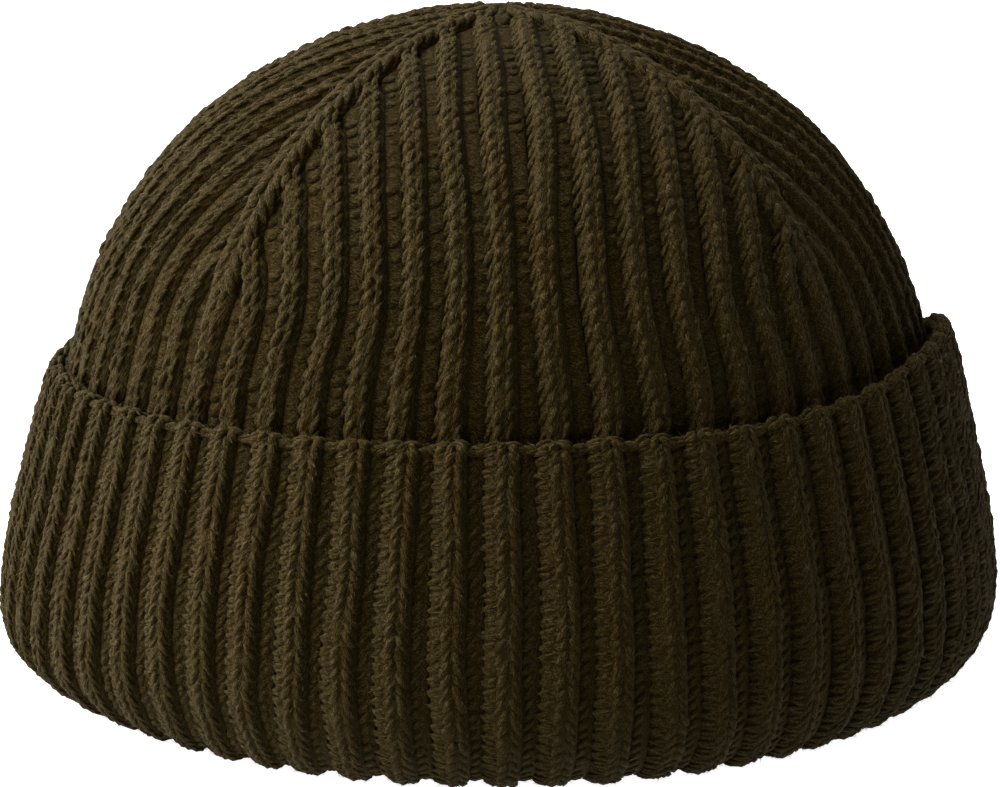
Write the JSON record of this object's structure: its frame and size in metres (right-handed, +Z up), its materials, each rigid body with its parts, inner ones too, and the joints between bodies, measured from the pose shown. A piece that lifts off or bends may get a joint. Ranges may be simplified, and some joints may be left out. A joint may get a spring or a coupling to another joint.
{
  "type": "knit hat",
  "caption": "Short rounded cap in thick two-by-two rib knit, shaped at the crown along four dart ribs, with one folded cuff round the rim.",
  "frame": {"origin": "centre of the hat's footprint, on the plane that the folded rim rests on", "axes": "+Z up through the top of the crown, the side seen in the picture facing -Y"},
  "size_m": [0.2002, 0.1983, 0.1297],
  "materials": {
    "rib_knit": "fuzzy plied yarn, dark olive brown"
  },
  "bodies": {
    "root": {"crown": "rib_knit", "cuff": "rib_knit"}
  },
  "joints": []
}
